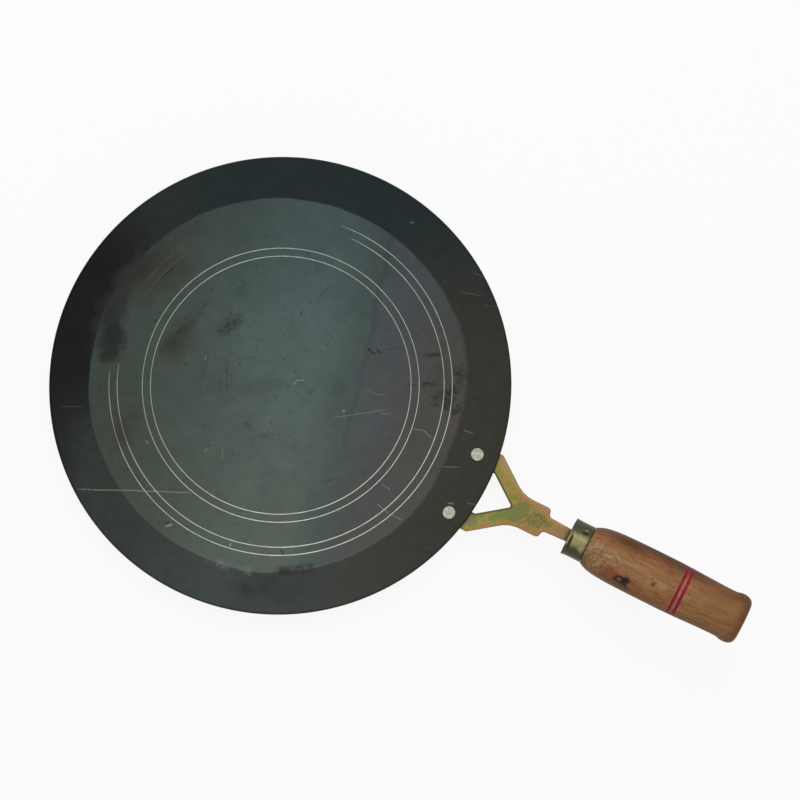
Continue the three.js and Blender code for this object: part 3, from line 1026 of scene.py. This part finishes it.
def scratches(shader, worn, at):
    """Single scratches, and fine ones in three directions, in groups, most of them towards the handle."""
    groups = shader.noise(24.0, 2.0).step(0.48, 0.62) * shader.along(0).span(0, 80, 0.2, 1.0)
    for turn in (28, 84, 332):
        streaks = shader.mapped(shader.at, "TEXTURE", (turn, 0, 0), (0, 0, rad(turn)), (18.0, 0.5, 1e6))
        shader.tint((150, 144, 124), shader.noise(1.0, 0.0, at=streaks).step(0.8, 0.88, 0.22) * groups)
    for centre, turn, half_length, half_width, strength in SCRATCHES.values():
        share = shader.line(at, centre, turn, half_length, half_width)
        shader.tint((160, 154, 132), share * worn * strength)


def ring_traces(shader, reach, broken):
    """What is left of the outer rings where they run out."""
    where = (shader.along(160) / reach).step(0.976, 0.992, 0.22) * broken
    for ring in RINGS:
        if ring["bare_arc"]:
            off = abs(reach - ring["radius"])
            shader.tint((126, 118, 94), off.step(0.4, 0.1) * where)


def pan_iron():
    """Oiled iron: a ground floor, a darker flare, stains and scratches, with painted shade and reflection
    laid in by direction.
    """
    shader = Shader("pan_iron")
    reach = shader.vector("LENGTH", shader.vector("MULTIPLY", shader.at, (1, 1, 0)), output="Value")
    clouds = shader.noise(34.0, 5.0, 0.6)
    lobes = shader.noise(12.0, 2.5, 0.5)
    mottle = shader.noise(7.0, 5.0, 0.65)
    grit = shader.noise(0.9, 2.0, 0.6)
    pits = shader.noise(1.7, 3.0, 0.6)
    turning = polar_noise(shader, reach, 3.0, 0.7, 3.0)
    rays = polar_noise(shader, reach, 55.0, 0.12, 4.0)

    past_crease = shader.attribute("past_crease")
    handleward = shader.along(20)
    torn = mottle * 1.5 + pits * 0.8 - 1.15
    fringe = past_crease + torn * handleward.span(70, 110, 0.9, 3.4)
    on_floor = (fringe / handleward.span(80, 108, 1.0, 3.0)).step(0.5, -0.5)
    # the floor and flare tones carry painted shade and reflection
    shader.paint = shader.mix(on_floor, flare_tone_and_shade(shader, reach), floor_tone_and_shade(shader, reach, clouds))
    shader.shade(mottle.swing(0.5) * (on_floor * -0.1 + 0.3) + 1.0)
    shader.shade(clouds.span(0.25, 0.75, 0.94, 1.06))
    shader.shade(rays.span(0.3, 0.7, 0.975, 1.025))
    shader.tint((36, 40, 37), pits.step(0.68, 0.76, 0.4))
    flecks = shader.noise(2.6, 3.0, 0.6, 1.0).step(0.6, 0.68, 0.75)
    strewn = lobes.step(0.46, 0.6) * shader.along(190).span(-60, 20, 0.25, 1.0)
    shader.tint((44, 50, 46), flecks * strewn * on_floor)
    shader.tint((118, 116, 102), grit.step(0.68, 0.76) * shader.along(-40).step(70, 120, 0.4))

    lobed = lobes.swing(0.25)
    ragged = mottle.swing(0.8)
    broken = grit.span(0.36, 0.52, 0.3, 1.0)
    rayed = rays.span(0.4, 0.58, 0.25, 1.0) * pits.span(0.36, 0.56, 0.5, 1.0)
    rubbed = turning.span(0.42, 0.62, 0.3, 1.0) * pits.span(0.4, 0.6, 0.35, 1.0)
    smeared = mottle.span(0.36, 0.62, 0.3, 1.0) * turning.span(0.4, 0.6, 0.6, 1.0)
    fine = shader.wobble(shader.at, 14.0, 0.5)
    shader.blots(STAINS_BROWN, (55, 54, 47), 0.9, clouds.swing(0.3, 0.3, 0.7), on_floor)
    # darker along the crease on the far side
    off_edge = abs(past_crease + lobes.span(0.3, 0.7, 0.5, 6.5))
    darker_by_crease = off_edge.step(12, 1) * shader.blot(shader.at, (-115, 14), 83, (54, 27), 0.7)
    shader.tint((42, 45, 41), darker_by_crease * 0.95)
    shader.blots(STAINS_DARK, (34, 38, 34), 0.55, lobed)
    shader.blots(STAINS_STREAKED, (36, 37, 33), 0.8, ragged, rayed)
    shader.blots(STAINS_SMEARED, (32, 31, 26), 0.7, lobed, smeared)
    shader.blots(RUBBED, (38, 43, 39), 0.9, lobed, rubbed)
    shader.blots(SCUFFS, (108, 114, 106), 0.8, ragged, rubbed)
    shader.blots(SPECKS, (28, 33, 31), 0.6, pits.swing(0.45, 0.3, 0.7), broken, fine)
    ring_traces(shader, reach, broken)
    scratches(shader, broken, fine)

    shader.bump(mottle * 2.0 + grit, 0.25, 0.08)
    return shader.finished(
        Metallic=0.45, Roughness=mottle.span(0.2, 0.8, 0.44, 0.58),
        Specular_IOR_Level=reach.span(PAN_RADIUS - RIM_SHADE, PAN_RADIUS, 0.2, 0.02))


def ring_metal():
    """Bare metal in the turned rings, brightest on the side away from the light."""
    shader = Shader("ring_metal", (186, 192, 182))
    shader.tint((219, 221, 205), shader.along(-60).step(-10, 75))
    shader.shade(shader.along(215).span(30, 85, 1.0, 0.85))
    shader.tint((106, 90, 66), shader.blot(shader.at, (-76.5, -66), 113, (14, 9), 0.8) * 0.55)
    shader.shade(shader.noise(6.0, 4.0, 0.7).span(0.3, 0.62, 0.86, 1.06))
    return shader.finished(Metallic=0.5, Roughness=0.45)


def pan_underside():
    """Unground black scale, browned by the fire in places."""
    shader = Shader("pan_underside", (40, 42, 42))
    scale = shader.noise(3.0, 5.0, 0.7)
    shader.tint((58, 55, 50), shader.noise(26.0, 6.0, 0.65, 0.4).step(0.35, 0.65))
    shader.tint((28, 27, 26), scale.step(0.55, 0.75, 0.5))
    shader.bump(scale, 0.3, 0.12)
    return shader.finished(Metallic=0.35, Roughness=scale.span(0.3, 0.7, 0.5, 0.7))


# Films on the zinc, from its outer edges inward: where each begins, where it covers, and its colour
ZINC_FILMS = (
    (-0.3, 0.1, (156, 118, 66)),
    (0.1, 0.45, (139, 120, 60)),
    (0.5, 0.85, (118, 111, 56)),
    (0.9, 1.15, (108, 114, 60)),
    (1.25, 1.45, (98, 114, 84)),
)


def yellow_zinc():
    """Yellow passivated zinc: pink along its edges, gold further in, olive and green in the middle, with
    painted shade along its edges and on the tang by the ferrule.
    """
    shader = Shader("yellow_zinc", (156, 112, 86), handle_frame())
    x = shader.along(0)
    clouds = shader.noise(8.0, 4.0, 0.6, 1.0)
    spots = shader.noise(2.4, 4.0, 0.7, 0.6)
    grain = shader.noise(0.8, 2.0, 0.6)
    edge = shader.attribute("edge_distance")
    outer = shader.attribute("outer_distance")
    film = outer.span(0.0, 6.0, -0.12, 0.75) + clouds.swing(0.65) + spots.swing(0.25)
    for low, high, rgb in ZINC_FILMS:
        shader.tint(rgb, film.step(low, high))
    shimmer = shader.noise(5.0, 3.0, 0.6, 1.5).step(0.35, 0.65)
    shader.shade(shader.mix(shimmer, (1.1, 0.94, 1.04, 1), (0.92, 1.1, 1.0, 1)))
    shader.shade(shader.mix(x.step(24, 12), (1, 1, 1, 1), (1.0, 1.14, 1.06, 1)))
    bare = shader.blot(shader.wobble(shader.at, 4.0, 0.8), (36.2, -0.6), 28, (7.2, 5.4), 0.3)
    stippled = shader.layered((92, 86, 44), ((136, 126, 70), grain.step(0.42, 0.58)))
    shader.paint = shader.mix(bare * 0.8, shader.paint, stippled)
    shader.tint((148, 118, 84), x.step(42, 50, 0.6))
    grey_patch = shader.blot(shader.wobble(shader.at, 4.0, 1.0), (-0.1, -18.4), 30, (4.4, 2.8), 0.7)
    shader.tint((116, 118, 110), grey_patch * 0.6)
    for centre, turn, half_length in (((30.6, 3.4), 72, 3.4), ((27.4, -4.6), 52, 4.8)):
        scratch = shader.line(shader.wobble(shader.at, 5.0, 0.6), centre, turn, half_length, 0.25)
        shader.tint((186, 166, 112), scratch * 0.5)
    shader.shade(grain.span(0.3, 0.7, 0.9, 1.08))
    # painted shade: dark along every edge, and in a wider band along the edges away from the outer side
    shader.tint((74, 54, 38), edge.step(0.6, 0.0, 0.75))
    shader.tint((72, 56, 34), edge.step(1.7, 0.7) * outer.step(4, 6) * 0.8)
    # painted shadow on the tang where it runs into the ferrule
    shader.tint((46, 38, 28), x.step(54.5, FERRULE_DISTANCE, 0.8))
    shader.bump(spots + grain, 0.25, 0.08)
    return shader.finished(Metallic=0.4, Specular_IOR_Level=0.3, Roughness=spots.span(0.3, 0.7, 0.38, 0.55))


def rivet_aluminium():
    """Hammered aluminium with grey dents."""
    shader = Shader("rivet_aluminium", (140, 143, 124))
    dents = shader.noise(1.6, 4.0, 0.65, 0.6)
    shader.tint((182, 183, 163), dents.step(0.36, 0.62))
    shader.bump(dents, 0.3, 0.08)
    return shader.finished(Metallic=0.6, Roughness=dents.span(0.3, 0.7, 0.42, 0.6))


def dull_brass():
    """Olive brass, patchy in tone. Painted shade darkens it down its sides and at its ends and makes the
    dent and the punch mark near black; the raised lips are worn metal under a painted highlight.
    """
    shader = Shader("dull_brass", (134, 127, 80), up_handle(FERRULE_DISTANCE))
    tarnish_and_shade = shader.noise(6.0, 3.0, 0.55)
    scratched = shader.noise(2.0, 3.0, 0.7, at=shader.stretched((4.0, 0.4, 0.4)))
    x = shader.along(0)
    y = shader.along(90) + tarnish_and_shade.swing(1.2, 0.3, 0.7)
    shader.tint((150, 143, 94), tarnish_and_shade.step(0.3, 0.7))
    # painted shade down both sides of the tube
    for near, far, share in ((-0.5, 6.8, 0.9), (-2.0, -6.5, 0.95)):
        shader.tint((58, 56, 35), y.step(near, far, share))
    # painted shade at both ends
    for near, far in ((1.4, 0.2), (FERRULE_LENGTH - 2.2, FERRULE_LENGTH - 0.2)):
        shader.tint((70, 66, 42), x.step(near, far, 0.6))
    shader.tint((96, 90, 56), scratched.step(0.58, 0.75, 0.3))
    # painted shade in the dent and the punch mark
    shader.tint((34, 31, 20), shader.attribute("hollow").step(0.1, 0.42, 0.92))
    # worn metal with a painted highlight on the raised lips
    shader.tint((182, 174, 126), shader.attribute("raised").step(0.2, 0.45, 0.8))
    shader.bump(scratched, 0.1, 0.04)
    return shader.finished(
        Metallic=0.4, Specular_IOR_Level=0.25, Roughness=scratched.span(0.3, 0.7, 0.34, 0.46))


# Marks on the wood's skin, along it and round it: centre, turn, half sizes, strength and colour of each.
WOOD_HALOS = {
    "before_knot": ((19.5, -8.5), 8, (13, 7), 0.85, (132, 68, 38)),
    "after_knot": ((36, -8.6), 345, (10, 4.5), 0.6, (124, 68, 40)),
    "below_knot": ((28, -15), 345, (18, 6), 0.9, (98, 62, 40)),
}
WOOD_KNOTS = {
    "ring": ((26.4, -9.9), 0, (4.5, 4.1), 0.95, (42, 31, 22)),
    "bridge": ((29.2, -9.3), 0, (3.6, 3.4), 0.95, (38, 29, 24)),
    "lobe": ((30.2, -8.0), 30, (3.2, 2.7), 0.95, (36, 28, 26)),
    "tail": ((30.2, -11.3), 312, (3.2, 2.0), 0.9, (48, 34, 24)),
    "heart": ((26.1, -9.9), 0, (1.9, 1.7), 0.85, (122, 98, 72)),
    "small": ((45.8, -2.4), 60, (2.7, 1.8), 0.85, (122, 56, 26)),
    "small_dot": ((44.0, 0.3), 0, (1.3, 1.0), 0.7, (126, 62, 32)),
}


def grain_tone(shader, x, y, fibres, pores):
    """Brown wood, warmer on its +Y side, with streaks along the grain. Painted shade makes it greyer and
    darker down its -Y side and darkens it along the far +Y edge.
    """
    patches = shader.noise(9.0, 4.0, 0.6, 0.6, shader.stretched((0.3, 1.0, 1.0)))
    bands = shader.noise(4.5, 4.0, 0.6, 0.8, shader.stretched((0.07, 1.0, 1.0), (9, 2, 5)))
    edge = y + patches.swing(1.5, 0.3, 0.7)
    return shader.layered(
        (133, 92, 57),
        ((158, 117, 77), fibres.step(0.36, 0.64)),
        ((122, 76, 42), bands.step(0.5, 0.66, 0.3)),
        ((144, 90, 52), patches.step(0.5, 0.66, 0.7)),
        ((166, 132, 92), patches.step(0.46, 0.32, 0.6)),
        ((138, 84, 44), y.step(3, 13.5, 0.5)),
        # painted shade: darker down the -Y side and along the far +Y edge
        ((108, 78, 50), y.step(-8.5, -15.8, 0.65)),
        ((74, 46, 29), edge.step(8, 15, 0.9)),
        ((152, 112, 78), x.step(24, 4, 0.35)),
        ((76, 45, 26), pores.step(0.57, 0.67, 0.8) * patches.span(0.36, 0.58, 0.3, 1.0)),
        ((122, 84, 48), x.step(60, 84, 0.35)),
        ((92, 52, 26), x.step(96, 104, 0.6)),
    )


def turned_wood():
    """Brown turned wood: streaked grain, knots, torn fibres in front and two red lines."""
    shader = Shader("turned_wood", own_frame=up_handle(GRIP_FACE))
    x, y, z = shader.parts(shader.at)
    around = shader.math("ARCTAN2", y, z) * GRIP_BELLY_RADIUS
    skin = shader.add("CombineXYZ", {0: x, 1: around})
    wavy = shader.wobble(shader.at, 22.0, 2.2)
    fibres = shader.noise(1.4, 6.0, 0.75, at=shader.vector("MULTIPLY", wavy, (0.06, 1, 1)))
    pores = shader.noise(1.1, 3.0, 0.65, at=shader.vector("MULTIPLY", wavy, (0.22, 1, 1)))
    flecks = shader.noise(1.5, 4.0, 0.7, at=shader.stretched((0.5, 1.0, 1.0)))
    flakes = shader.noise(3.2, 4.0, 0.6, 1.2, shader.stretched((0.55, 1.0, 1.0)))
    speckle = shader.noise(3.0, 5.0, 0.65)
    shader.paint = grain_tone(shader, x, y, fibres, pores)

    edge = speckle.swing(0.5)
    torn = shader.blot(skin, (9, -3), 0, (17, 13), 0.7, edge)
    shader.tint((176, 146, 112), torn * flakes.span(0.4, 0.6, 0.15, 0.7))
    shader.tint((84, 60, 40), torn * abs(flakes - 0.47).step(0.035, 0.008, 0.75))
    shader.tint((92, 68, 46), torn * flecks.step(0.56, 0.68, 0.7))
    shader.tint((92, 78, 60), x.step(7, 0.5) * y.step(2, -9) * 0.65)
    # painted shade in the joint against the ferrule
    gap = x + speckle.swing(0.5, 0.3, 0.7)
    shader.tint((60, 46, 34), gap.step(0.7, 0.1, 0.6))
    ragged_skin = shader.wobble(skin, 2.6, 0.6)
    for marks, soft, ragged in ((WOOD_HALOS, 0.95, edge), (WOOD_KNOTS, 0.5, edge * 0.3)):
        for centre, turn, half_sizes, strength, rgb in marks.values():
            share = shader.blot(ragged_skin, centre, turn, half_sizes, soft, ragged)
            shader.tint(rgb, share * strength)

    worn = pores.span(0.7, 0.52, 0.6, 1.0)
    for distance in STRIPES:
        off = abs(x - distance) + flecks.swing(STRIPE_FRAY, 0.3, 0.7)
        painted = off.step(STRIPE_WIDTH / 2 + STRIPE_FRAY, STRIPE_WIDTH / 2 - STRIPE_FRAY)
        shader.tint((138, 2, 50), painted * worn)

    shader.bump(fibres - pores * 1.5, 0.25, 0.15)
    return shader.finished(
        Metallic=0.0, Specular_IOR_Level=0.12, Roughness=fibres.span(0.3, 0.7, 0.46, 0.62))


# Stage

def seen_directly(nodes):
    """1 for rays from the camera and in reflections and glass, which see the stage as white."""
    found = nodes.add("LightPath", output="Is Camera Ray")
    for name in ("Is Glossy Ray", "Is Transmission Ray"):
        found = nodes.math("MAXIMUM", found, nodes.add("LightPath", output=name))
    return found


def floor_material():
    """White paper that keeps a soft shadow, and is clear from below."""
    material = bpy.data.materials.new("floor_paper")
    material.use_nodes = True
    tree = material.node_tree
    tree.nodes.remove(tree.nodes["Principled BSDF"])
    nodes = Nodes(tree)
    paper = nodes.add("BsdfDiffuse", {"Color": (0.88, 0.88, 0.88, 1)})
    lit = nodes.add("MixShader", {0: seen_directly(nodes) * 0.9, 1: paper, 2: nodes.add("Emission")})
    below = nodes.add("NewGeometry", output="Backfacing")
    sided = nodes.add("MixShader", {0: below, 1: lit, 2: nodes.add("BsdfTransparent")})
    nodes.feed(tree.nodes["Material Output"].inputs["Surface"], sided)
    return material


def add_floor():
    mesh = bpy.data.meshes.new("floor")
    corners = [(x * FLOOR_HALF * MM, y * FLOOR_HALF * MM, -FLOOR_DROP * MM) for x, y in SQUARE]
    mesh.from_pydata(corners, [], [(0, 1, 2, 3)])
    mesh.materials.append(floor_material())
    linked("floor", mesh)


def add_world():
    world = bpy.data.worlds.new("studio")
    world.use_nodes = True
    nodes = Nodes(world.node_tree)
    background = world.node_tree.nodes["Background"]
    background.inputs["Color"].default_value = (1, 1, 1, 1)
    strength = nodes.add("MapRange", {"Value": seen_directly(nodes), "To Min": WORLD_STRENGTH})
    nodes.feed(background.inputs["Strength"], strength)
    bpy.context.scene.world = world


def look_at(thing, place, aim, up):
    back = (Vector(place) - Vector(aim)).normalized()
    right = Vector(up).cross(back).normalized()
    turn = Matrix((right, back.cross(right), back)).transposed().to_4x4()
    thing.matrix_world = Matrix.Translation(Vector(place) * MM) @ turn


def add_lamp():
    lamp = bpy.data.lights.new("softbox", "AREA")
    lamp.shape = "DISK"
    lamp.size = LAMP_SIZE * MM
    lamp.energy = LAMP_POWER
    look_at(linked("softbox", lamp), LAMP_PLACE, LAMP_AIM, (0, 1, 0))


def add_camera():
    camera = linked("camera", bpy.data.cameras.new("camera"))
    camera.data.sensor_width = 36.0
    camera.data.lens = CAMERA_LENS
    camera.data.clip_start = 0.01
    camera.data.clip_end = 50.0
    up = (-math.sin(rad(CAMERA_ROLL)), math.cos(rad(CAMERA_ROLL)), 0)
    look_at(camera, CAMERA_PLACE, CAMERA_AIM, up)
    bpy.context.scene.camera = camera


# Assembly
add_camera()
add_floor()
add_world()
add_lamp()
bpy.context.scene.view_settings.view_transform = "Standard"

rivet_places = [rivet_frame(side) for side in (1, -1)]
pan = cut(pan_mesh(), "pan_pressed", hole_cutters(rivet_places))
add_piece("pan_pressed", pan, "pan", (pan_iron(), ring_metal(), pan_underside()))
add_piece("bracket_forked", bracket_mesh(), "handle_bracket", (yellow_zinc(),))

aluminium = rivet_aluminium()
for rivet_side, rivet_name in ((1, "rivet_left"), (-1, "rivet_right")):
    struck_name = rivet_name + "_struck"
    add_piece(struck_name, rivet_mesh(struck_name, 40 + rivet_side), rivet_name,
              (aluminium,), rivet_frame(rivet_side))

ferrule_place = up_handle(FERRULE_DISTANCE)
add_piece("ferrule_staked", ferrule_mesh(), "ferrule", (dull_brass(),), ferrule_place)
grip_place = up_handle(GRIP_FACE)
grip = cut(grip_mesh(), "grip_turned", tang_slot())
add_piece("grip_turned", grip, "wooden_grip", (turned_wood(),), grip_place)
